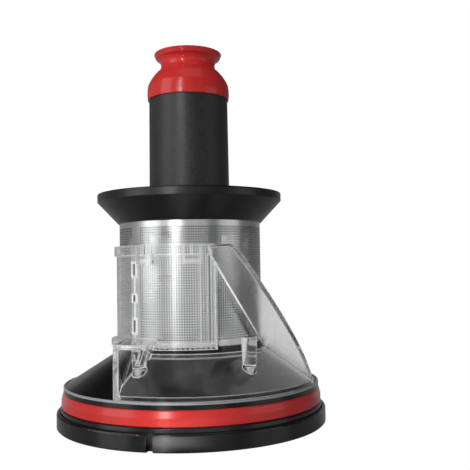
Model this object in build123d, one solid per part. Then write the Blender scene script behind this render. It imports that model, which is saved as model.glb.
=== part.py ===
from build123d import *
import math
import os

# Cyclone separator of a bagless hand-held vacuum cleaner, standing on its wide closure ring.
# Lengths are millimetres. The upright axis is Z, the ring's underside is Z = 0, the air inlet faces -Y.
# Angles around the axis are degrees from the front, positive towards +X.

# Driving sizes
base_radius = 60.0          # outside of the closure ring
wall = 2.0                  # common moulded wall
screen_radius = 32.0        # outside of the rolled metal screen
screen_height = 52.8        # length of the screen between its two seats
tube_radius = 18.0          # outside of the fine-dust tube at its top
tube_rise = 54.9            # tube length that stands above the skirt floor, up to the end seal

# Base: closure ring, red seal band, conical cover
base_height = 9.0
base_chamfer = 0.6
ring_top = 7.2              # top of the ring's outer wall
ring_round = 1.0
ledge_stand = 0.4           # the ledge under the band stands this much outside it
ledge_chamfer = 0.3
ledge_draft = 0.15          # the ledge is this much wider at its foot
ledge_groove = 0.5          # width of the groove between ledge and outer wall
groove_depth = 0.8
spigot_radius = base_radius - 5.0
spigot_wall = 2.4
spigot_low = 2.0
band_height = 6.4
band_radius = base_radius - 2.1
band_straight = 3.4         # height up to which the band is a plain cylinder
band_taper = 0.7            # the band's top is this much smaller
band_soft = 0.4             # rounding of the band's edges
band_top = base_height + band_height
rim_radius = base_radius - 3.0
rim_height = 1.8
rim_bead = 0.45             # half the width of the raised bead on the cover's rim
rim_play = 0.1              # air between the bead and the clear duct
cone_slope = math.radians(31.7)
neck_radius = screen_radius + 1.4
neck_bore = screen_radius - 1.0
neck_rise = 4.4             # upright part of the neck above the cone
notch_angle = -15.9
notch_width = 2.6
notch_depth = 3.0
notch_round = 1.8

# Outlet plate with its spigot, gasket and ribs
plate_low = 6.0
plate_top = plate_low + 2.4
outlet_radius = 20.0
outlet_wall = 2.4
outlet_drop = 4.0           # how far the outlet spigot hangs below the plate
gasket_width = 3.0
gasket_bead = 0.8           # how far the gasket bulges below the spigot
plate_ribs = 8
rib_width = 1.6
rib_drop = 2.6
rib_margin = 1.5            # air between a rib and the walls at its ends

# Screen, cage and inner cyclone
screen_sheet = 0.4
seam_angle = -47.0
seam_tab_stand = 0.35
seam_tab_spread = 3.6       # half the angle that a tab covers
seam_tab_long = 7.5
seam_tab_short = 4.2
seam_tab_places = (0.16, 0.38, 0.61)    # heights of the tabs as shares of the screen
lap_spread = 0.9            # half the angle of the sheet's lap
lap_margin = 2.0
cage_ribs = 8
cage_depth = 2.0
cage_rib = 1.8              # half the angle that a rib covers
seam_rib = 5.0              # the same for the rib behind the seam
cage_ring = 4.0
cage_step = 1.0             # the cage's foot goes this much further in
cyclone_radius = screen_radius - 6.0
cyclone_foot = 4.0          # width of the barrel's foot flange
cyclone_straight = 40.0     # height where the straight part ends
tip_play = 2.6              # room between the cyclone's tip and the dust tube, the soft ring fills it
cyclone_slots = 4
slot_width = 4.0
slot_turn = 20.0
finder_radius = 11.5
finder_wall = 1.5
finder_top = 58.0
bell_height = 10.0          # height of the finder's funnel

# Skirt, tube and end seal
skirt_flare = 9.2           # how far the rim stands out beyond the skirt's foot
skirt_ledge = 0.6           # the skirt's foot stands this much outside the screen
skirt_lip = 2.1             # height of the upright rim
skirt_round = 0.6           # rounding of the rim's edges
tube_taper = 0.4            # the tube is this much wider at the skirt
tube_wall = 2.4
tube_step = 1.2             # the tube's seat is this much smaller
tube_flange = 5.6           # width of the flange under the skirt
tube_flange_height = 3.0
seal_seat = 6.8             # length of tube end inside the seal
seal_bulge = 0.6            # how far the seal's collar stands out from the tube
seal_crown = 0.2            # the collar's middle stands this much further out
seal_neck_radius = tube_radius - 5.4
seal_lip_radius = tube_radius - 2.5
seal_shoulder = 2.4         # heights above the tube's end
seal_neck = 8.0
seal_lip = 14.9
seal_wall = 1.6
seal_edge = 0.5             # rounding of the lip
ring_seal_height = 3.0

# Clear inlet duct
duct_radius = rim_radius - 2 * rim_bead - rim_play
duct_wall = 1.8
floor_play = 0.1            # air between the cover and the duct's underside
duct_left = -33.2           # angle of the left wall at the outer edge
duct_right = 69.0           # angle of the ramp's foot at the outer edge
duct_skew = 8.0             # turn of the left wall from the Y direction
side_wall = 2.4             # thickness of the left wall
mouth_radius = neck_radius + 1.6        # inner edge of floor and ramp
mouth_lip = 1.2             # width of the raised lip along the floor's inner edge
mouth_rise = 0.9
shelf_width = 13.8
shelf_gap = 1.5             # the shelf lies this much above the neck
shelf_drop = 6.0            # height of the web under the shelf's edge
shelf_lean = 2.6            # how far the web's foot stands back
ramp_wall = 2.0
ramp_top_inner = 12.5       # angles of the ramp's two upper corners and its inner foot
ramp_top_outer = 17.0
ramp_foot_inner = 80.0
ramp_sag_inner = 0.7        # how much faster the ramp falls at its start than at its foot
ramp_sag_outer = 0.15
ramp_leave = 8              # power with which the ramp's inner edge moves out from the shield
ramp_corner = 6.0           # rounding of the ramp's upper outer corner
ramp_sections = 8
shield_gap = 0.5            # air between screen and shield, the seam tabs stand in it
shield_wall = 0.9
shield_left = -118.0
shield_right = 17.3
shield_height = 42.5
flange_height = 4.2
flange_stand = 1.0
foot_height = 2.4           # band around the shield's foot
foot_lap = 0.9              # how far the band laps down over the neck
foot_stand = 2.6            # how far the band stands out from the neck
rib_start = 6.5             # angles of the broad upright rib on the shield
rib_end = 11.5
end_rib = 2.5               # angle that the shield's end rib covers
end_stand = 2.6             # how far the end rib stands out
end_round = 9.0             # height of its rounded upper corner
clip_angles = (-34.0, 0.8)
clip_spread = 6.0
clip_post = 0.6             # half the angle of a clip's posts
clip_drop = 4.0             # length of the posts below the flange
clip_stand = 0.8
clip_bar = 0.8
boss_radius = 3.3
boss_draft = 0.8            # a boss is this much slimmer at its foot
boss_ring = neck_radius + 0.47 * (duct_radius - neck_radius)
boss_angles = (-28.5, 32.0)
spare = 2.0                 # how far raw bodies run past the room that trims them

# Screws
screw_radius = 1.25
screw_head_radius = 2.7
screw_head = 1.8
screw_length = 12.0
duct_screw_length = 9.5
pillar_radius = 3.6
pillar_gap = 1.5            # room between a pillar and the cover's wall
pillar_ring = spigot_radius - spigot_wall - pillar_radius - pillar_gap
pillar_angles = (45.0, 135.0, 225.0, 315.0)

# Heights and radii that follow from the sizes above
rim_top = band_top + rim_height
neck_top = rim_top + (rim_radius - neck_radius) * math.tan(cone_slope) + neck_rise
screen_top = neck_top + screen_height
skirt_floor = screen_top + wall
skirt_foot = screen_radius + skirt_ledge
skirt_radius = skirt_foot + skirt_flare
skirt_top = skirt_floor + skirt_flare + skirt_lip
tube_base_radius = tube_radius + tube_taper
tube_bore = tube_radius - tube_wall
tube_shoulder = skirt_floor + tube_rise
tube_top = tube_shoulder + seal_seat
tube_seat_radius = tube_radius - tube_step
tube_flange_radius = tube_base_radius + tube_flange
cyclone_tip_radius = tube_bore - tip_play
cyclone_taper_end = screen_top - wall
cyclone_tip_top = skirt_floor + 8 * wall
shield_radius = screen_radius + shield_gap
shield_face = shield_radius + shield_wall
shield_top = neck_top + shield_height
flange_low = shield_top - flange_height
foot_radius = neck_radius + foot_stand
shelf_low = neck_top + shelf_gap
shelf_top = shelf_low + duct_wall


def cone_height(radius):
    """Height of the conical cover's upper face at a radius."""
    return rim_top + (rim_radius - radius) * math.tan(cone_slope)


def around(angle, radius, height=0.0):
    """Point at an angle from the front, a radius and a height."""
    turn = math.radians(angle)
    return Vector(radius * math.sin(turn), -radius * math.cos(turn), height)


def outline(*points):
    """Upright face through (radius, height) corners; an Edge among them is kept as it is."""
    edges = []
    corners = [p for p in points if not isinstance(p, Edge)]
    if len(corners) == len(points):
        return make_face(Polyline(*[(r, 0, z) for r, z in corners], close=True))
    last = None
    for item in points:
        start = item @ 0 if isinstance(item, Edge) else Vector(item[0], 0, item[1])
        if last is not None and (start - last).length > 1e-6:
            edges.append(Line(last, start))
        if isinstance(item, Edge):
            edges.append(item)
            last = item @ 1
        else:
            last = start
    first = points[0] @ 0 if isinstance(points[0], Edge) else Vector(points[0][0], 0, points[0][1])
    if (first - last).length > 1e-6:
        edges.append(Line(last, first))
    return make_face(Wire(edges))


def arc(start, middle, end):
    """Upright arc through three (radius, height) points."""
    return ThreePointArc(*[(r, 0, z) for r, z in (start, middle, end)])


def rounded(start, end):
    """Upright arc between two (radius, height) points that leaves the first one straight up."""
    return TangentArc((start[0], 0, start[1]), (end[0], 0, end[1]), tangent=(0, 0, 1))


def eased(corner, after, radius):
    """Rounds a (radius, height) corner between an upright line from below and the line to the next point."""
    run = Vector(after[0] - corner[0], 0, after[1] - corner[1]).normalized()
    back = radius * math.tan(math.acos(run.Z) / 2)
    return rounded((corner[0], corner[1] - back), (corner[0] + back * run.X, corner[1] + back * run.Z))


def turned(*points):
    """Solid of revolution about the upright axis."""
    return revolve(outline(*points), Axis.Z)


def sector(start, end, *points):
    """Part of a solid of revolution, from one angle to another."""
    return Rot(0, 0, start - 90) * revolve(outline(*points), Axis.Z, end - start)


def ring(inner, outer, low, high):
    """Plain ring with a square section."""
    return turned((inner, low), (outer, low), (outer, high), (inner, high))


def arc_block(start, end, inner, outer, low, high):
    """Piece of a plain ring between two angles."""
    return sector(start, end, (inner, low), (outer, low), (outer, high), (inner, high))


def post(angle, centre, radius, low, high):
    """Upright round post at an angle and a centre radius."""
    spot = around(angle, centre)
    return Pos(spot.X, spot.Y, (low + high) / 2) * Cylinder(radius, high - low)


def spoke(angle, inner, outer, width, low, high):
    """Straight radial bar."""
    bar = Box(width, outer - inner, high - low)
    return Rot(0, 0, angle) * Pos(0, -(inner + outer) / 2, (low + high) / 2) * bar


def screw(angle, centre, seat, length):
    """Self-tapping screw with a cross recess, head down, its head's bearing face at the seat height."""
    head = post(angle, centre, screw_head_radius, seat - screw_head, seat)
    head = chamfer(head.edges().group_by(Axis.Z)[0], screw_head / 3)
    shank = post(angle, centre, screw_radius, seat, seat + length)
    spot = around(angle, centre, seat - screw_head)
    cross = Box(screw_head_radius, screw_head_radius / 4, screw_head)
    cross += Rot(0, 0, 90) * cross
    return head + shank - Pos(spot.X, spot.Y, spot.Z) * cross


# Base pieces

def base_ring():
    """Closure ring: outer wall with a locating notch, then a groove and the ledge under the band."""
    ledge = band_radius + ledge_stand
    groove = ledge + ledge_groove
    groove_floor = ring_top - groove_depth
    body = turned(
        (spigot_radius, 0),
        (base_radius - base_chamfer, 0),
        (base_radius, base_chamfer),
        eased((base_radius, ring_top), (groove, ring_top), ring_round),
        (groove, ring_top),
        (groove, groove_floor),
        (ledge + ledge_draft, groove_floor),
        (ledge, base_height - ledge_chamfer),
        (ledge - ledge_chamfer, base_height),
        (spigot_radius, base_height),
    )
    half = notch_width / 2
    low = -spare
    corner = RadiusArc((half, ring_top - notch_round), (half + notch_round, ring_top), notch_round)
    edges = [
        Line((-half, low), (half, low)),
        Line((half, low), (half, ring_top - notch_round)),
        corner,
        Line(corner @ 1, (-half, ring_top)),
        Line((-half, ring_top), (-half, low)),
    ]
    slot = extrude(Plane.XZ * make_face(Wire(edges)), notch_depth + spare)
    return body - Rot(0, 0, notch_angle) * Pos(0, notch_depth - base_radius, 0) * slot


def seal_band():
    """Soft red band in the groove between closure ring and cover; the dust bin slides over it."""
    top_radius = band_radius - band_taper
    return turned(
        (spigot_radius, base_height),
        (band_radius - band_soft, base_height),
        (band_radius, base_height + band_soft),
        (band_radius, base_height + band_straight),
        (top_radius, band_top - band_soft),
        (top_radius - band_soft, band_top),
        (spigot_radius, band_top),
    )


def cone_cover():
    """Conical cover with the spigot for ring and band, the neck and its screw pillars."""
    under = wall / math.cos(cone_slope)
    inside = spigot_radius - spigot_wall
    bead_end = rim_radius - 2 * rim_bead
    bead_foot = cone_height(bead_end)
    body = turned(
        (spigot_radius, spigot_low),
        (spigot_radius, band_top),
        (rim_radius, band_top),
        rounded((rim_radius, bead_foot), (bead_end, bead_foot)),
        (neck_radius, cone_height(neck_radius)),
        (neck_radius, neck_top),
        (neck_bore, neck_top),
        (neck_bore, cone_height(neck_bore) - under),
        (inside, cone_height(inside) - under),
        (inside, spigot_low),
    )
    room = turned(
        (0, plate_top),
        (inside, plate_top),
        (inside, cone_height(inside) - under / 2),
        (0, cone_height(0) - under / 2),
    )
    for angle in pillar_angles:
        body += post(angle, pillar_ring, pillar_radius, plate_top, neck_top) & room
        body -= post(angle, pillar_ring, screw_radius, plate_top, plate_top + screw_length - wall)
    for angle in boss_angles:
        body += post(angle, boss_ring, pillar_radius, duct_screw_seat(), neck_top) & room
        body -= post(angle, boss_ring, screw_radius, duct_screw_seat(), neck_top)
    return body


def duct_screw_seat():
    """Height of the flat pads under the cover that take the duct's screws."""
    return cone_height(boss_ring + pillar_radius) - 2 * wall


def outlet_plate():
    """Plate that closes the base from below, with the air outlet spigot and radial ribs."""
    inside = spigot_radius - spigot_wall
    outer = outlet_radius + outlet_wall
    plate = ring(outlet_radius, inside, plate_low, plate_top)
    plate += ring(outlet_radius, outer, plate_low - outlet_drop, plate_low)
    for index in range(plate_ribs):
        angle = (index + 0.5) * 360 / plate_ribs
        start = outer + gasket_width + rib_margin
        plate += spoke(angle, start, inside - rib_margin, rib_width, plate_low - rib_drop, plate_low)
    for angle in pillar_angles:
        plate -= post(angle, pillar_ring, screw_radius, plate_low, plate_top)
    return plate


def outlet_gasket():
    """Soft ring around the outlet spigot that seals against the motor housing."""
    inner = outlet_radius + outlet_wall
    low = plate_low - outlet_drop
    return turned(
        (inner, low),
        arc((inner, low), (inner + gasket_width / 2, low - gasket_bead), (inner + gasket_width, low)),
        (inner + gasket_width, plate_low),
        (inner, plate_low),
    )


# Pieces inside the screen

def vortex_finder():
    """Outlet tube of the inner cyclone with a funnel mouth at the plate."""
    bore = finder_radius - finder_wall
    flange = cyclone_radius - wall
    bell_top = plate_top + bell_height
    return turned(
        (outlet_radius, plate_top),
        (flange, plate_top),
        (flange, plate_top + wall),
        (outlet_radius, plate_top + wall),
        (finder_radius, bell_top + wall),
        (finder_radius, finder_top),
        (bore, finder_top),
        (bore, bell_top + wall),
    )


def inner_cyclone():
    """Inner cyclone: straight barrel with tangential slots, then a taper into the dust tube."""
    inner = cyclone_radius - wall
    foot = cyclone_radius + cyclone_foot
    tip_bore = cyclone_tip_radius - wall
    body = turned(
        (inner, plate_top),
        (foot, plate_top),
        (foot, plate_top + wall),
        (cyclone_radius, plate_top + wall),
        (cyclone_radius, cyclone_straight),
        (cyclone_tip_radius, cyclone_taper_end),
        (cyclone_tip_radius, cyclone_tip_top),
        (tip_bore, cyclone_tip_top),
        (tip_bore, cyclone_taper_end),
        (inner, cyclone_straight),
    )
    low = plate_top + 3 * wall
    high = cyclone_straight - 4 * wall
    for index in range(cyclone_slots):
        side = inner + wall / 4 - slot_width / 2
        slot = Pos(side, cyclone_radius / 2, (low + high) / 2) * Box(slot_width, cyclone_radius, high - low)
        body -= Rot(0, 0, index * 360 / cyclone_slots + slot_turn) * slot
    return body


def tube_seal():
    """Soft ring between the cyclone's tip and the dust tube."""
    middle = (screen_top + skirt_floor) / 2
    return ring(cyclone_tip_radius, tube_bore, middle - ring_seal_height / 2, middle + ring_seal_height / 2)


def screen_cage():
    """Moulded cage that carries the screen: two end rings, a middle ring and upright ribs between windows."""
    outer = screen_radius - screen_sheet
    inner = outer - cage_depth
    foot = inner - cage_step
    low_ring = neck_top + cage_ring
    high_ring = screen_top - cage_ring
    middle = (low_ring + high_ring) / 2
    cage = turned(
        (foot, neck_top - cage_ring),
        (neck_bore, neck_top - cage_ring),
        (neck_bore, neck_top),
        (outer, neck_top),
        (outer, screen_top),
        (tube_flange_radius, screen_top),
        (tube_flange_radius, high_ring),
        (inner, high_ring),
        (inner, low_ring),
        (foot, low_ring),
    )
    step = 360 / cage_ribs
    for index in range(cage_ribs):
        start = seam_angle + index * step + (seam_rib if index == 0 else cage_rib)
        end = seam_angle + (index + 1) * step - (seam_rib if index == cage_ribs - 1 else cage_rib)
        for low, high in ((low_ring, middle - cage_depth / 2), (middle + cage_depth / 2, high_ring)):
            cage -= arc_block(start, end, foot, outer + spare, low, high)
    return cage


def mesh_screen():
    """Rolled screen sheet with a lapped seam held by three slotted tabs."""
    sheet = ring(screen_radius - screen_sheet, screen_radius, neck_top, screen_top)
    bed = screen_radius - screen_sheet / 2
    stand = screen_radius + seam_tab_stand
    left = seam_angle - seam_tab_spread
    right = seam_angle + seam_tab_spread
    for share, height in zip(seam_tab_places, (seam_tab_long, seam_tab_short, seam_tab_long)):
        middle = neck_top + share * screen_height
        tab = arc_block(left, right, bed, stand, middle - height / 2, middle + height / 2)
        slot_left = seam_angle - seam_tab_spread / 2
        slot_right = seam_angle + seam_tab_spread / 4
        slot = height / 3
        tab -= arc_block(slot_left, slot_right, screen_radius, stand + spare, middle - slot, middle + slot)
        sheet += tab
    lap = screen_radius + seam_tab_stand / 2
    low = neck_top + lap_margin
    high = shield_top - 2 * lap_margin
    sheet += arc_block(seam_angle - lap_spread, seam_angle + lap_spread, bed, lap, low, high)
    return sheet


# Skirt, tube and end seal

def dust_skirt():
    """Flared skirt with an upright rim, its floor clamps the top of the screen."""
    inner = skirt_radius - wall / math.sqrt(2)
    rim_low = skirt_top - skirt_lip
    return turned(
        (tube_base_radius, screen_top),
        (skirt_foot, screen_top),
        (skirt_radius, rim_low - wall / math.sqrt(2)),
        eased((skirt_radius, skirt_top), (inner, skirt_top), skirt_round),
        (inner, skirt_top),
        (inner, rim_low),
        (inner - skirt_flare, skirt_floor),
        (tube_base_radius, skirt_floor),
    )


def dust_tube():
    """Fine-dust tube with a slight taper, a flange under the skirt and a stepped seat for the end seal."""
    flange_foot = screen_top - tube_flange_height
    return turned(
        (tube_bore, flange_foot),
        (tube_flange_radius, flange_foot),
        (tube_flange_radius, screen_top),
        (tube_base_radius, screen_top),
        (tube_base_radius, skirt_floor),
        (tube_radius, tube_shoulder),
        (tube_seat_radius, tube_shoulder),
        (tube_seat_radius, tube_top),
        (tube_bore, tube_top),
    )


def end_seal():
    """Soft boot over the tube's end: bulged collar, rounded shoulder, neck and flared lip."""
    collar = tube_radius + seal_bulge
    crown = collar + seal_crown
    shoulder = tube_top + seal_shoulder
    neck = tube_top + seal_neck
    lip = tube_top + seal_lip
    bore = seal_neck_radius - seal_wall
    slope = (seal_neck_radius + seal_wall, (shoulder + 2 * neck) / 3)
    flare = (seal_lip_radius - seal_wall / 2, (neck + 2 * lip) / 3)
    inner_lip = seal_lip_radius - 2 * seal_edge
    return turned(
        arc((collar, tube_shoulder), (crown, tube_shoulder + seal_seat / 2), (collar - seal_crown, tube_top)),
        arc((collar - seal_crown, tube_top), (collar - seal_wall, shoulder + seal_crown), slope),
        arc(slope, (seal_neck_radius, neck), flare),
        (seal_lip_radius, lip - seal_edge),
        rounded((seal_lip_radius, lip - seal_edge), (seal_lip_radius - seal_edge, lip)),
        (inner_lip, lip),
        (bore, neck + seal_edge),
        (bore, neck - seal_wall),
        (tube_bore, tube_top),
        (tube_seat_radius, tube_top),
        (tube_seat_radius, tube_shoulder),
    )


# Clear inlet duct

def duct_space():
    """Room the duct may fill: outside screen and neck, above the cover, inside the dust bin."""
    return turned(
        (neck_radius, neck_top),
        (neck_radius, cone_height(neck_radius) + floor_play),
        (duct_radius, cone_height(duct_radius) + floor_play),
        rounded((duct_radius, shield_top - ramp_corner), (duct_radius - ramp_corner, shield_top)),
        (shield_radius, shield_top),
        (shield_radius, neck_top),
    )


def duct_plan(low, high, *corners):
    """Upright prism over a plan drawn along the left wall, its foot at the duct's left outer edge."""
    spot = around(duct_left, duct_radius)
    prism = extrude(make_face(Polyline(*corners, close=True)), high - low)
    return Pos(spot.X, spot.Y, low) * Rot(0, 0, -duct_skew) * prism


def ramp_rule(share):
    """The ramp's straight line from its inner to its outer edge, at a share of the way down."""
    top = shield_top - ramp_wall / 2
    ends = []
    clear = mouth_radius - (mouth_radius - shield_radius) * (1 - share) ** ramp_leave
    for start, end, sag, radius in (
        (ramp_top_inner, ramp_foot_inner, ramp_sag_inner, clear),
        (ramp_top_outer, duct_right, ramp_sag_outer, duct_radius),
    ):
        fall = share + sag * share * (1 - share)
        ends.append(around(start + share * (end - start), radius, top - fall * (top - cone_height(radius))))
    return ends


def duct_ramp():
    """Helical wall: it leaves the shield level and lies down on the cone at its foot."""
    half = ramp_wall / 2
    step = 1 / ramp_sections
    sections = []
    for index in range(ramp_sections + 1):
        inner, outer = ramp_rule(index * step)
        ahead = ramp_rule(index * step + step / 10)
        along = (ahead[0] + ahead[1] - inner - outer).normalized()
        across = (outer - inner).normalized()
        lift = along.cross(across).normalized() * half
        end = outer + across * 2 * spare
        corners = [inner - lift, end - lift, end + lift, inner + lift]
        sections.append(make_face(Polyline(*corners, close=True)))
    return loft(sections)


def duct_floor():
    """Conical floor panel on the cover, from the left wall to the ramp's foot."""
    lift = duct_wall / math.cos(cone_slope)
    outside = duct_radius + spare
    lip = mouth_radius + mouth_lip
    lip_top = cone_height(mouth_radius) + lift + mouth_rise
    floor = sector(
        duct_left, ramp_foot_inner,
        (mouth_radius, cone_height(mouth_radius) - lift),
        (outside, cone_height(outside) - lift),
        (outside, cone_height(outside) + lift),
        (lip, cone_height(lip) + lift),
        (lip, lip_top),
        (mouth_radius, lip_top),
    )
    inner, outer = ramp_rule(1.0)
    across = (outer - inner).normalized()
    beyond = Vector(-across.Y, across.X, 0) * duct_radius
    start = inner - across * duct_radius / 2
    end = outer + across * duct_radius / 2
    corners = [(spot.X, spot.Y) for spot in (start, end, end + beyond, start + beyond)]
    return floor - extrude(make_face(Polyline(*corners, close=True)), shield_top)


def duct_shield():
    """Curved shield in front of the screen with its flange, foot band, ribs and clip posts."""
    inside = shield_radius - spare
    root = shield_face - shield_wall / 2
    rim = shield_face + flange_stand
    high = shield_top + spare
    foot_low = neck_top - foot_lap
    shield = arc_block(shield_left, shield_right, inside, shield_face, foot_low, high)
    shield += arc_block(shield_left, shield_right, inside, rim, flange_low, high)
    shield += arc_block(shield_left, shield_right, inside, foot_radius, foot_low, foot_low + foot_height)
    shield += arc_block(rib_start, rib_end, root, rim, foot_low, shield_top)
    stand = shield_face + end_stand
    round_low = shield_top - end_round
    shield += sector(
        shield_right - end_rib, shield_right,
        (root, foot_low),
        (stand, neck_top),
        rounded((stand, round_low), (root, flange_low)),
        (root, flange_low),
    )
    clip_low = flange_low - clip_drop
    for middle in clip_angles:
        left = middle - clip_spread
        right = middle + clip_spread
        for side in (left, middle, right):
            low = flange_low if side == middle else clip_low
            shield += arc_block(side - clip_post, side + clip_post, root, rim + clip_stand, low, shield_top)
        bar_low = clip_low + clip_bar
        shield += arc_block(left, right, root, shield_face + clip_bar, bar_low, bar_low + clip_bar)
    return shield


def inlet_duct():
    """Clear one-piece inlet duct: shield, floor, left wall with shelf, ramp and two screw bosses."""
    reach = duct_radius - shield_radius
    front = -reach / 2
    back = reach * 3 / 2
    duct = duct_floor()
    duct += duct_plan(0, shelf_top, (0, front), (side_wall, front), (side_wall, back), (0, back))
    duct += duct_plan(shelf_low, shelf_top, (0, front), (shelf_width, front), (shelf_width, back), (0, back))
    edge = shelf_width - duct_wall
    foot = shelf_low - shelf_drop
    web_foot = [(shelf_width - shelf_lean, foot), (edge - shelf_lean, foot)]
    web = [(edge, shelf_top), (shelf_width, shelf_top)] + web_foot
    spot = around(duct_left, duct_radius)
    drop = extrude(Plane.XZ * make_face(Polyline(*web, close=True)), back - front)
    duct += Pos(spot.X, spot.Y, 0) * Rot(0, 0, -duct_skew) * Pos(0, back, 0) * drop
    duct += duct_ramp()
    for angle, high in zip(boss_angles, (shelf_top - duct_wall / 2, shelf_top + duct_wall / 2)):
        low = duct_screw_seat()
        spot = around(angle, boss_ring)
        boss = Cone(boss_radius - boss_draft, boss_radius, high - low)
        duct += Pos(spot.X, spot.Y, (low + high) / 2) * boss
    duct += duct_shield()
    duct &= duct_space()
    for angle in boss_angles:
        duct -= post(angle, boss_ring, screw_radius, 0, duct_screw_seat() + duct_screw_length)
    return duct


# Screws

def duct_screws():
    """Two screws that hold the duct from inside the cover."""
    seat = duct_screw_seat()
    return Compound(children=[screw(angle, boss_ring, seat, duct_screw_length) for angle in boss_angles])


def base_screws():
    """Four screws that hold the outlet plate to the cover."""
    return Compound(children=[screw(angle, pillar_ring, plate_low, screw_length) for angle in pillar_angles])


pieces = {
    "base_ring": base_ring,
    "seal_band": seal_band,
    "cone_cover": cone_cover,
    "outlet_plate": outlet_plate,
    "outlet_gasket": outlet_gasket,
    "base_screws": base_screws,
    "vortex_finder": vortex_finder,
    "inner_cyclone": inner_cyclone,
    "tube_seal": tube_seal,
    "screen_cage": screen_cage,
    "mesh_screen": mesh_screen,
    "inlet_duct": inlet_duct,
    "duct_screws": duct_screws,
    "dust_skirt": dust_skirt,
    "dust_tube": dust_tube,
    "end_seal": end_seal,
}

os.makedirs("parts", exist_ok=True)
for name, make in pieces.items():
    export_step(make(), f"parts/{name}.step")
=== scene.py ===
import math
import bmesh
import bpy
from mathutils import Matrix, Vector


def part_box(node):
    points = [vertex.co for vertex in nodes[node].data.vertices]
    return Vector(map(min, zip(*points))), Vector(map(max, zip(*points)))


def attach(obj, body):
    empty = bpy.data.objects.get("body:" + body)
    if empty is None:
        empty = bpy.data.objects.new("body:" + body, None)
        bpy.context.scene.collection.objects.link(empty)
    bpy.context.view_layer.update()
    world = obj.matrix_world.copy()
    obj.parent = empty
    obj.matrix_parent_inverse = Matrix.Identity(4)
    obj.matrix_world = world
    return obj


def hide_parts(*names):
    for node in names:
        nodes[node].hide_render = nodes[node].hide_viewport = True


# Cyclone separator of a bagless hand-held vacuum cleaner, standing on its closure ring.
# Lengths are metres, in the frame of the solids. Angles around the axis are degrees from the front (-Y).

mm = 0.001

# Rolled screen
hole_pitch = 1.05 * mm
hole_share = 0.58           # hole width as a share of the pitch
screen_sheet = 0.3 * mm
screen_border = 2.6 * mm    # plain edge above and below the holes
seam_angle = -47.0
seam_half = 5.0             # plain strip on each side of the seam, in degrees
seam_stand = 0.35 * mm      # how far the seam's tabs stand out
seam_tabs = ((0.16, 7.5 * mm), (0.38, 4.2 * mm), (0.61, 7.5 * mm))    # share of the height, length
tab_half = 3.6              # half the angle that a tab covers
slot_left = -1.8            # angles of the open slot in a tab, from the seam
slot_right = 0.9
slot_share = 2 / 3          # length of a slot as a share of its tab
lap_half = 0.9              # half the angle of the sheet's lap
lap_margin = 2 * mm
weld = 0.01 * mm            # points closer than this are joined

# Painted highlight on the bead of the cover's rim: where the pale paint starts, and how soon it is fully
# pale
bead_highlight_radius = 56.25 * mm
bead_highlight_height = 17.15 * mm
bead_highlight_fade = 0.2 * mm

# White of the studio: its share for the eye, through glass, and in reflections before and behind the object
table_seen = 0.995
glass_seen = 0.5
shine_front = 0.10
shine_back = 0.25
shine_start = -20 * mm      # Y where the front share ends
shine_end = 100 * mm        # Y where the back share starts

# Lamps
lamp_aim = 80 * mm          # height that they point at
card_angle = -4.5           # bright card on the table before the ring
card_reach = 79 * mm
card_lift = 0.5 * mm
card_width = 47 * mm
card_depth = 34 * mm
card_brightness = 6.0

# Camera, as fitted to the photograph
camera_place = (0.0, -0.3299, 0.0694)
camera_pan = 3.58
camera_tilt = 2.46
camera_roll = -0.93
camera_lens = 54.93

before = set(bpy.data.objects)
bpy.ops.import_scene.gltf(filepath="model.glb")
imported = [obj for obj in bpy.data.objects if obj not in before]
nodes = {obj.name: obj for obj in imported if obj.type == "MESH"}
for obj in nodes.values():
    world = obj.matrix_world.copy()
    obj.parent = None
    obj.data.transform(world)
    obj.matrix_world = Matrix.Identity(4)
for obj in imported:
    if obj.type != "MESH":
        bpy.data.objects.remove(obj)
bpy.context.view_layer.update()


# Node trees

def linear(code):
    """Linear colour of an sRGB hex value."""
    parts = [int(code[start:start + 2], 16) / 255 for start in (1, 3, 5)]
    return [c / 12.92 if c <= 0.04045 else ((c + 0.055) / 1.055) ** 2.4 for c in parts] + [1.0]


def add(tree, kind, inputs=None, **settings):
    """Adds a node; inputs maps a socket's name or number to a value or to the socket that feeds it."""
    made = tree.nodes.new(kind)
    for key, value in settings.items():
        setattr(made, key, value)
    for key, value in (inputs or {}).items():
        if isinstance(value, bpy.types.NodeSocket):
            tree.links.new(value, made.inputs[key])
        else:
            made.inputs[key].default_value = value
    return made


def calc(tree, operation, *values, **settings):
    """Result of a math node on one to three numbers or sockets."""
    inputs = dict(enumerate(values))
    return add(tree, "ShaderNodeMath", inputs, operation=operation, **settings).outputs[0]


def remap(tree, value, low, high, start=0.0, end=1.0, **settings):
    """Value moved from the range low to high into the range start to end."""
    inputs = {0: value, 1: low, 2: high, 3: start, 4: end}
    return add(tree, "ShaderNodeMapRange", inputs, **settings).outputs[0]


def split(tree, vector):
    """X, Y and Z of a vector."""
    return add(tree, "ShaderNodeSeparateXYZ", {0: vector}).outputs


def blotches(tree, place, size, detail):
    """Noise with blotches of about one size."""
    return add(tree, "ShaderNodeTexNoise", {"Vector": place, "Scale": 1 / size, "Detail": detail}).outputs[0]


def spread(tree, noise, start=0.0, end=1.0):
    """Noise stretched to a full range, because most of it lies near its middle."""
    return remap(tree, noise, 0.3, 0.7, start, end)


def blend(tree, share, first, second):
    """Colour between two colours."""
    return add(tree, "ShaderNodeMix", {0: share, 6: first, 7: second}, data_type="RGBA").outputs[2]


def new_material(name):
    """Empty material and its node tree."""
    material = bpy.data.materials.new(name)
    material.use_nodes = True
    material.node_tree.nodes.clear()
    return material, material.node_tree


# Materials

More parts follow.
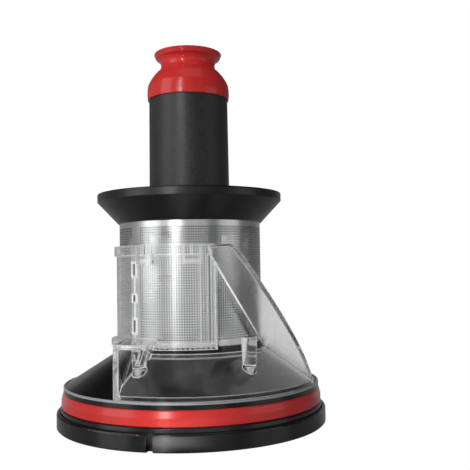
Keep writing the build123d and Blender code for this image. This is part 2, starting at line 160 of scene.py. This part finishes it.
def moulded(name, dark, light, gloss, matt, grain, depth,
            patch=12 * mm, edge=0.3 * mm, speckle=0.3, **shader):
    """Moulded surface: tone and gloss drift in patches, a fine grain breaks highlights, edges are eased."""
    material, tree = new_material(name)
    place = add(tree, "ShaderNodeTexCoord").outputs["Object"]
    drift = blotches(tree, place, patch, 5.0)
    fine = blotches(tree, place, grain, 2.0)
    tone = add(tree, "ShaderNodeMix", {0: speckle, 2: drift, 3: fine}, data_type="FLOAT").outputs[0]
    eased = add(tree, "ShaderNodeBevel", {"Radius": edge}, samples=4).outputs[0]
    bump = add(tree, "ShaderNodeBump", {"Height": fine, "Distance": depth, "Strength": 0.6, "Normal": eased})
    body = add(tree, "ShaderNodeBsdfPrincipled", {
        "Base Color": blend(tree, spread(tree, tone), linear(dark), linear(light)),
        "Roughness": spread(tree, drift, gloss, matt),
        "Normal": bump.outputs[0],
        **shader,
    })
    add(tree, "ShaderNodeOutputMaterial", {"Surface": body.outputs[0]})
    return material


def satin_abs():
    """Satin black ABS, moulded in a lightly eroded tool: soft grey highlights, no mirror image."""
    return moulded("satin_black_abs", "#0d0d0f", "#131316", 0.28, 0.40, 0.45 * mm, 0.012 * mm,
                   IOR=1.52)


def glossy_abs():
    """Black ABS with a semi-gloss face, as on the closure ring: soft but bright highlights."""
    return moulded("glossy_black_abs", "#141416", "#1b1b1e", 0.18, 0.26, 0.6 * mm, 0.005 * mm,
                   IOR=1.52)


def polished_abs():
    """Black ABS from a polished tool: deep black, soft reflections, and a painted highlight on the rim's
    bead.
    """
    material = moulded("polished_black_abs", "#0c0c0e", "#121214", 0.14, 0.24, 0.8 * mm, 0.004 * mm,
                       IOR=1.52)
    tree = material.node_tree
    body = tree.nodes["Principled BSDF"]
    place = split(tree, add(tree, "ShaderNodeTexCoord").outputs["Object"])
    flat = add(tree, "ShaderNodeCombineXYZ", {0: place["X"], 1: place["Y"]}).outputs[0]
    radius = add(tree, "ShaderNodeVectorMath", {0: flat}, operation="LENGTH").outputs["Value"]
    # Painted highlight: outside this radius and above this height the bead is coloured pale grey, in place
    # of a lamp's reflection
    outside = calc(tree, "GREATER_THAN", radius, bead_highlight_radius)
    above = remap(tree, place["Z"], bead_highlight_height, bead_highlight_height + bead_highlight_fade)
    painted_highlight = calc(tree, "MULTIPLY", outside, above)
    black = body.inputs["Base Color"].links[0].from_socket
    tree.links.new(blend(tree, painted_highlight, black, linear("#b4b5b6")), body.inputs["Base Color"])
    return material


def grained_abs():
    """Dark grey ABS with an eroded grain of under 1 mm: the highlight spreads into a dull upright band."""
    return moulded("grained_grey_abs", "#1d1d1f", "#39393b", 0.40, 0.48, 0.8 * mm, 0.12 * mm,
                   speckle=0.7, IOR=1.52)


def red_silicone(name, gloss, matt):
    """Red silicone rubber: an even, saturated red with waxy highlights."""
    return moulded(name, "#e53533", "#ef413d", gloss, matt, 0.9 * mm, 0.008 * mm,
                   patch=20 * mm, edge=0.4 * mm, IOR=1.43)


def black_rubber():
    """Black rubber: matt, with a dusty bloom."""
    return moulded("black_rubber", "#141414", "#222222", 0.62, 0.78, 0.3 * mm, 0.02 * mm, IOR=1.52)


def drawn_steel(name, dark, light, gloss, matt):
    """Bare or plated steel: fine upright draw lines make streaks in the reflections."""
    material, tree = new_material(name)
    place = add(tree, "ShaderNodeTexCoord").outputs["Object"]
    drawn = add(tree, "ShaderNodeMapping", {"Vector": place, "Scale": (900.0, 900.0, 14.0)}).outputs[0]
    lines = blotches(tree, drawn, 1.0, 3.0)
    bands = blotches(tree, place, 9 * mm, 3.0)
    bump = add(tree, "ShaderNodeBump", {"Height": lines, "Distance": 0.02 * mm, "Strength": 0.05})
    body = add(tree, "ShaderNodeBsdfPrincipled", {
        "Base Color": blend(tree, lines, linear(dark), linear(light)),
        "Roughness": spread(tree, bands, gloss, matt),
        "Normal": bump.outputs[0],
        "Metallic": 1.0,
    })
    add(tree, "ShaderNodeOutputMaterial", {"Surface": body.outputs[0]})
    return material


def clear_polycarbonate():
    """Clear moulded polycarbonate: sharp reflections, a faint haze, and painted highlights on its edges."""
    material, tree = new_material("clear_polycarbonate")
    place = add(tree, "ShaderNodeTexCoord").outputs["Object"]
    flow = blotches(tree, place, 7 * mm, 3.0)
    # Painted highlight: near edges the plastic stops letting light through and shows white, in place of
    # light piped along the sheet
    eased = add(tree, "ShaderNodeBevel", {"Radius": 0.8 * mm}, samples=8).outputs[0]
    flat = add(tree, "ShaderNodeNewGeometry").outputs["Normal"]
    bend = add(tree, "ShaderNodeVectorMath", {0: eased, 1: flat}, operation="DOT_PRODUCT").outputs["Value"]
    wave = add(tree, "ShaderNodeBump", {"Height": flow, "Distance": 0.1 * mm, "Strength": 0.1})
    body = add(tree, "ShaderNodeBsdfPrincipled", {
        "Base Color": linear("#f6f6f6"),
        "Roughness": spread(tree, flow, 0.10, 0.16),
        "Normal": wave.outputs[0],
        "IOR": 1.55,
        "Transmission Weight": remap(tree, bend, 0.90, 0.98),
    })
    shadow = add(tree, "ShaderNodeLightPath").outputs["Is Shadow Ray"]
    through = add(tree, "ShaderNodeBsdfTransparent", {"Color": linear("#f0f0f0")})
    both = add(tree, "ShaderNodeMixShader", {0: shadow, 1: body.outputs[0], 2: through.outputs[0]})
    add(tree, "ShaderNodeOutputMaterial", {"Surface": both.outputs[0]})
    return material


def seen_white(tree, path):
    """Share of plain white: all for the eye, part through glass, none for light and reflections."""
    return calc(tree, "MULTIPLY_ADD", path["Is Transmission Ray"], glass_seen, path["Is Camera Ray"],
                use_clamp=True)


def white_acrylic():
    """Acrylic table top: white to the eye, and grey with a slight shine where it lights the object."""
    material, tree = new_material("white_acrylic")
    path = add(tree, "ShaderNodeLightPath").outputs
    seen = calc(tree, "MULTIPLY", seen_white(tree, path), table_seen)
    depth = split(tree, add(tree, "ShaderNodeNewGeometry").outputs["Position"])["Y"]
    shine = remap(tree, depth, shine_start, shine_end, shine_front, shine_back)
    share = calc(tree, "MULTIPLY_ADD", path["Is Glossy Ray"], shine, seen, use_clamp=True)
    table = add(tree, "ShaderNodeBsdfPrincipled", {
        "Base Color": linear("#a4a4a4"),
        "Roughness": 0.04,
        "IOR": 2.0,
    })
    glow = add(tree, "ShaderNodeEmission", {"Color": linear("#ffffff"), "Strength": 1.0})
    both = add(tree, "ShaderNodeMixShader", {0: share, 1: table.outputs[0], 2: glow.outputs[0]})
    add(tree, "ShaderNodeOutputMaterial", {"Surface": both.outputs[0]})
    return material


# Perforated screen

def screen_tree():
    """Node tree that lays out a grid of bars and holes, removes the holes and rolls it around the axis."""
    tree = bpy.data.node_groups.new("perforated_roll", "GeometryNodeTree")
    tree.interface.new_socket("Geometry", in_out="OUTPUT", socket_type="NodeSocketGeometry")
    for name, kind in (("Columns", "Int"), ("Rows", "Int"), ("Radius", "Float"), ("Low", "Float"),
                       ("High", "Float"), ("Border", "Float"), ("Hole share", "Float"),
                       ("Seam angle", "Float"), ("Seam columns", "Float"), ("Material", "Material")):
        tree.interface.new_socket(name, in_out="INPUT", socket_type="NodeSocket" + kind)
    given = add(tree, "NodeGroupInput").outputs

    # Grid with one unit per cell: hole, bar, hole, bar around the roll and bar, hole, bar upwards
    wide = calc(tree, "MULTIPLY", given["Columns"], 2.0)
    tall = calc(tree, "MULTIPLY_ADD", given["Rows"], 2.0, 1.0)
    grid = add(tree, "GeometryNodeMeshGrid", {
        "Size X": wide,
        "Size Y": tall,
        "Vertices X": calc(tree, "ADD", wide, 1.0),
        "Vertices Y": calc(tree, "ADD", tall, 1.0),
    })
    spot = split(tree, add(tree, "GeometryNodeInputPosition").outputs[0])
    across = calc(tree, "MULTIPLY_ADD", wide, 0.5, spot["X"])
    upward = calc(tree, "MULTIPLY_ADD", tall, 0.5, spot["Y"])
    across_turn = calc(tree, "FLOORED_MODULO", across, 2.0)
    upward_turn = calc(tree, "FLOORED_MODULO", upward, 2.0)

    # Cells to remove: every second one both ways, away from the seam at the grid's two ends
    hole_across = calc(tree, "LESS_THAN", across_turn, 1.0)
    hole_upward = calc(tree, "GREATER_THAN", upward_turn, 1.0)
    from_seam = calc(tree, "MINIMUM", across, calc(tree, "SUBTRACT", wide, across))
    free = calc(tree, "GREATER_THAN", from_seam, given["Seam columns"])
    hole = calc(tree, "MULTIPLY", calc(tree, "MULTIPLY", hole_across, hole_upward), free)
    sheet = add(tree, "GeometryNodeDeleteGeometry", {"Geometry": grid.outputs[0], "Selection": hole},
                domain="FACE")

    # Angle of a point: whole pitches plus the hole's share of one
    pair = calc(tree, "FLOOR", calc(tree, "MULTIPLY", across, 0.5))
    pitches = calc(tree, "MULTIPLY_ADD", across_turn, given["Hole share"], pair)
    turn = calc(tree, "DIVIDE", pitches, given["Columns"])
    angle = calc(tree, "MULTIPLY_ADD", turn, 2 * math.pi, given["Seam angle"])

    # Height of a point: the same upwards between the two plain borders
    step = calc(tree, "SUBTRACT", upward, 1.0)
    step_turn = calc(tree, "FLOORED_MODULO", step, 2.0)
    pair = calc(tree, "FLOOR", calc(tree, "MULTIPLY", step, 0.5))
    level = calc(tree, "MULTIPLY_ADD", step_turn, given["Hole share"], pair)
    levels = calc(tree, "ADD", calc(tree, "SUBTRACT", given["Rows"], 1.0), given["Hole share"])
    first = calc(tree, "ADD", given["Low"], given["Border"])
    last = calc(tree, "SUBTRACT", given["High"], given["Border"])
    height = remap(tree, level, 0.0, levels, first, last, clamp=False)
    at_foot = calc(tree, "LESS_THAN", upward, 0.5)
    at_head = calc(tree, "GREATER_THAN", calc(tree, "SUBTRACT", upward, tall), -0.5)
    for there, end in ((at_foot, given["Low"]), (at_head, given["High"])):
        chosen = add(tree, "GeometryNodeSwitch", {0: there, 1: height, 2: end}, input_type="FLOAT")
        height = chosen.outputs[0]

    # Roll around the axis, with the seam closed
    side = calc(tree, "MULTIPLY", calc(tree, "SINE", angle), given["Radius"])
    depth = calc(tree, "MULTIPLY", calc(tree, "COSINE", angle), given["Radius"])
    depth = calc(tree, "MULTIPLY", depth, -1.0)
    place = add(tree, "ShaderNodeCombineXYZ", {0: side, 1: depth, 2: height}).outputs[0]
    rolled = add(tree, "GeometryNodeSetPosition", {"Geometry": sheet.outputs[0], "Position": place})
    closed = add(tree, "GeometryNodeMergeByDistance", {"Geometry": rolled.outputs[0], "Distance": weld})
    real = add(tree, "GeometryNodeRealizeInstances", {"Geometry": closed.outputs[0]})
    dressed = add(tree, "GeometryNodeSetMaterial", {"Geometry": real.outputs[0],
                                                    "Material": given["Material"]})
    add(tree, "NodeGroupOutput", {0: dressed.outputs[0]})
    return tree


def around(angle, radius, height):
    """Point at an angle from the front, a radius and a height."""
    turn = math.radians(angle)
    return Vector((radius * math.sin(turn), -radius * math.cos(turn), height))


def seam_block(shape, start, end, inner, outer, low, high, cuts=3):
    """Adds a block that follows the screen's curve between two angles from the seam."""
    loops = []
    for index in range(cuts + 1):
        angle = seam_angle + start + (end - start) * index / cuts
        corners = ((inner, low), (outer, low), (outer, high), (inner, high))
        loops.append([shape.verts.new(around(angle, radius, height)) for radius, height in corners])
    for near, far in zip(loops, loops[1:]):
        for index in range(4):
            after = (index + 1) % 4
            shape.faces.new((near[index], near[after], far[after], far[index]))
    shape.faces.new(loops[0][::-1])
    shape.faces.new(loops[-1])


def settled(holder):
    """Plain mesh of an object with its modifiers; the object itself is removed."""
    mesh = bpy.data.meshes.new_from_object(holder.evaluated_get(bpy.context.evaluated_depsgraph_get()))
    bpy.data.objects.remove(holder)
    return mesh


def screen_layout(steel, radius, low, high):
    """Roll of bars and holes, as a plain mesh without thickness."""
    columns = round(2 * math.pi * radius / hole_pitch)
    tree = screen_tree()
    holder = bpy.data.objects.new("screen_layout", bpy.data.meshes.new("screen_layout"))
    bpy.context.scene.collection.objects.link(holder)
    roll = holder.modifiers.new("roll", "NODES")
    roll.node_group = tree
    values = {
        "Columns": columns,
        "Rows": round((high - low - 2 * screen_border) / hole_pitch),
        "Radius": radius,
        "Low": low,
        "High": high,
        "Border": screen_border,
        "Hole share": hole_share,
        "Seam angle": math.radians(seam_angle),
        "Seam columns": 2 * columns * seam_half / 360,
        "Material": steel,
    }
    for item in tree.interface.items_tree:
        if item.in_out == "INPUT":
            roll[item.identifier] = values[item.name]
    return settled(holder)


def open_slots(mesh, tabs):
    """Removes the faces of the layout that lie in the slots of the seam's tabs."""
    shape = bmesh.new()
    shape.from_mesh(mesh)
    open_faces = []
    for face in shape.faces:
        spot = face.calc_center_median()
        angle = math.degrees(math.atan2(spot.x, -spot.y)) - seam_angle
        level = any(abs(spot.z - middle) < half * slot_share for middle, half in tabs)
        if level and slot_left < angle < slot_right:
            open_faces.append(face)
    bmesh.ops.delete(shape, geom=open_faces, context="FACES")
    shape.to_mesh(mesh)
    shape.free()


def thickened(mesh):
    """The layout as a sheet, with its wall inwards."""
    holder = bpy.data.objects.new("screen_sheet", mesh)
    bpy.context.scene.collection.objects.link(holder)
    wall = holder.modifiers.new("sheet", "SOLIDIFY")
    wall.thickness = screen_sheet
    wall.offset = -1.0
    return settled(holder)


def add_seam(mesh, tabs, radius, low):
    """Adds the frames of the seam's tabs and the lap below each of them."""
    shape = bmesh.new()
    shape.from_mesh(mesh)
    inner = radius - screen_sheet / 2
    outer = radius + seam_stand
    lap_low = low + lap_margin
    for middle, half in tabs:
        for start, end in ((-tab_half, slot_left), (slot_right, tab_half)):
            seam_block(shape, start, end, inner, outer, middle - half, middle + half)
        for side in (-1, 1):
            ends = sorted((middle + side * half * slot_share, middle + side * half))
            seam_block(shape, slot_left, slot_right, inner, outer, *ends)
        seam_block(shape, -lap_half, lap_half, inner, radius + seam_stand / 2, lap_low, middle - half)
        lap_low = middle + half
    shape.to_mesh(mesh)
    shape.free()


def perforated_screen(steel):
    """Rolled stainless screen with square holes and a slotted seam, in place of the plain sheet."""
    low, high = (corner.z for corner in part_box("mesh_screen"))
    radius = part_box("mesh_screen")[1].y
    tabs = [(low + share * (high - low), length / 2) for share, length in seam_tabs]
    mesh = screen_layout(steel, radius, low, high)
    open_slots(mesh, tabs)
    mesh = thickened(mesh)
    add_seam(mesh, tabs, radius, low)
    mesh.name = "perforated_screen"
    screen = bpy.data.objects.new("perforated_screen", mesh)
    bpy.context.scene.collection.objects.link(screen)
    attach(screen, "root")
    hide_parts("mesh_screen")


# Finish of each solid

finishes = {
    glossy_abs(): ("base_ring",),
    satin_abs(): ("dust_skirt", "outlet_plate", "inner_cyclone", "vortex_finder", "screen_cage"),
    polished_abs(): ("cone_cover",),
    grained_abs(): ("dust_tube",),
    red_silicone("polished_red_silicone", 0.16, 0.24): ("seal_band",),
    red_silicone("soft_red_silicone", 0.18, 0.28): ("end_seal",),
    black_rubber(): ("tube_seal", "outlet_gasket"),
    drawn_steel("zinc_plated_steel", "#a8a9aa", "#c2c3c4", 0.25, 0.35): ("base_screws", "duct_screws"),
    clear_polycarbonate(): ("inlet_duct",),
}
for finish, names in finishes.items():
    for name in names:
        nodes[name].material_slots[0].material = finish

screen_finish = drawn_steel("rolled_stainless_steel", "#c8c9ca", "#dfe0e1", 0.25, 0.34)
nodes["mesh_screen"].material_slots[0].material = screen_finish
perforated_screen(screen_finish)


# Stage

def table_top():
    """White table with a wide curve up at its back edge."""
    half = 0.8
    front = -0.7
    back = 0.6
    bend = 0.3
    cuts = 12
    profile = [(front, 0.0), (back, 0.0)]
    for index in range(1, cuts + 1):
        turn = math.pi / 2 * index / cuts
        profile.append((back + bend * math.sin(turn), bend - bend * math.cos(turn)))
    shape = bmesh.new()
    rows = [[shape.verts.new((side * half, y, z)) for side in (-1, 1)] for y, z in profile]
    for near, far in zip(rows, rows[1:]):
        face = shape.faces.new((near[0], near[1], far[1], far[0]))
        face.smooth = True
    mesh = bpy.data.meshes.new("table_top")
    shape.to_mesh(mesh)
    shape.free()
    mesh.materials.append(white_acrylic())
    table = bpy.data.objects.new("table_top", mesh)
    bpy.context.scene.collection.objects.link(table)


def studio_room():
    """Grey room, lighter on the left and dark above; white to the eye and half white through glass."""
    world = bpy.data.worlds.new("studio_room")
    bpy.context.scene.world = world
    world.use_nodes = True
    tree = world.node_tree
    tree.nodes.clear()
    seen = seen_white(tree, add(tree, "ShaderNodeLightPath").outputs)
    way = split(tree, add(tree, "ShaderNodeTexCoord").outputs["Generated"])
    sides = remap(tree, way["X"], -0.9, 0.9, 0.30, 0.14)
    above = remap(tree, way["Z"], 0.1, 0.55, 1.0, 0.12)
    grey = calc(tree, "MULTIPLY", sides, above)
    level = add(tree, "ShaderNodeMix", {0: seen, 2: grey, 3: 1.0}, data_type="FLOAT").outputs[0]
    room = add(tree, "ShaderNodeBackground", {"Color": linear("#ffffff"), "Strength": level})
    add(tree, "ShaderNodeOutputWorld", {"Surface": room.outputs[0]})


def softbox(name, angle, height, distance, width, tall, brightness):
    """Area lamp at an angle from the front, aimed at the object; brightness is its surface's own."""
    lamp = bpy.data.lights.new(name, "AREA")
    lamp.shape = "RECTANGLE"
    lamp.size = width
    lamp.size_y = tall
    lamp.energy = brightness * math.pi * width * tall
    holder = bpy.data.objects.new(name, lamp)
    bpy.context.scene.collection.objects.link(holder)
    holder.visible_camera = False
    place = around(angle, distance, height)
    aim = Vector((0.0, 0.0, lamp_aim)) - place
    holder.matrix_world = Matrix.Translation(place) @ aim.to_track_quat("-Z", "Y").to_matrix().to_4x4()
    return holder


def front_card():
    """Bright card that lies before the ring and faces up, for the soft sheen beside the notch."""
    holder = softbox("front_card", card_angle, card_lift, card_reach, card_width, card_depth,
                     card_brightness)
    place = holder.matrix_world.translation
    holder.matrix_world = Matrix.Translation(place) @ Matrix.Rotation(math.pi, 4, "X")

    # Fades out at its edges, slowly to one side
    holder.data.use_nodes = True
    tree = holder.data.node_tree
    tree.nodes.clear()
    spot = split(tree, add(tree, "ShaderNodeNewGeometry").outputs["Parametric"])
    from_end = calc(tree, "PINGPONG", spot["Y"], 0.5)
    rise = remap(tree, spot["X"], 0.0, 0.25, interpolation_type="SMOOTHSTEP")
    fall = remap(tree, spot["X"], 1.0, 0.0, interpolation_type="SMOOTHSTEP")
    ends = remap(tree, from_end, 0.0, 0.4, interpolation_type="SMOOTHSTEP")
    level = calc(tree, "MULTIPLY", calc(tree, "MULTIPLY", rise, fall), ends)
    glow = add(tree, "ShaderNodeEmission", {"Strength": level})
    add(tree, "ShaderNodeOutputLight", {0: glow.outputs[0]})


def fitted_camera():
    """Camera in the place and direction that the photograph was taken from."""
    camera = bpy.data.objects.new("camera", bpy.data.cameras.new("camera"))
    bpy.context.scene.collection.objects.link(camera)
    camera.data.lens = camera_lens
    camera.data.sensor_width = 36.0
    camera.data.clip_start = 0.01
    camera.matrix_world = (
        Matrix.Translation(camera_place)
        @ Matrix.Rotation(math.radians(-camera_pan), 4, "Z")
        @ Matrix.Rotation(math.radians(90 + camera_tilt), 4, "X")
        @ Matrix.Rotation(math.radians(camera_roll), 4, "Z")
    )
    bpy.context.scene.camera = camera


table_top()
studio_room()

# Lamps: angle from the front, height, distance from the axis, width, height of the box, brightness
softbox("key_low", -25.0, 0.05, 0.85, 0.06, 0.20, 4.4)
softbox("key_middle", -22.5, 0.225, 0.85, 0.11, 0.09, 26.0)
softbox("key_high", -22.5, 0.49, 0.85, 0.06, 0.42, 18.0)
softbox("side_box", -64.0, 0.35, 0.85, 0.46, 0.70, 2.0)
softbox("top_box", 20.0, 1.00, 0.25, 0.70, 0.70, 0.4)
softbox("right_fill", 65.0, 0.15, 0.95, 0.60, 0.40, 0.75)
softbox("front_fill", 14.0, 0.06, 0.90, 0.45, 0.24, 0.65)
front_card()

fitted_camera()
bpy.context.scene.view_settings.view_transform = "Standard"
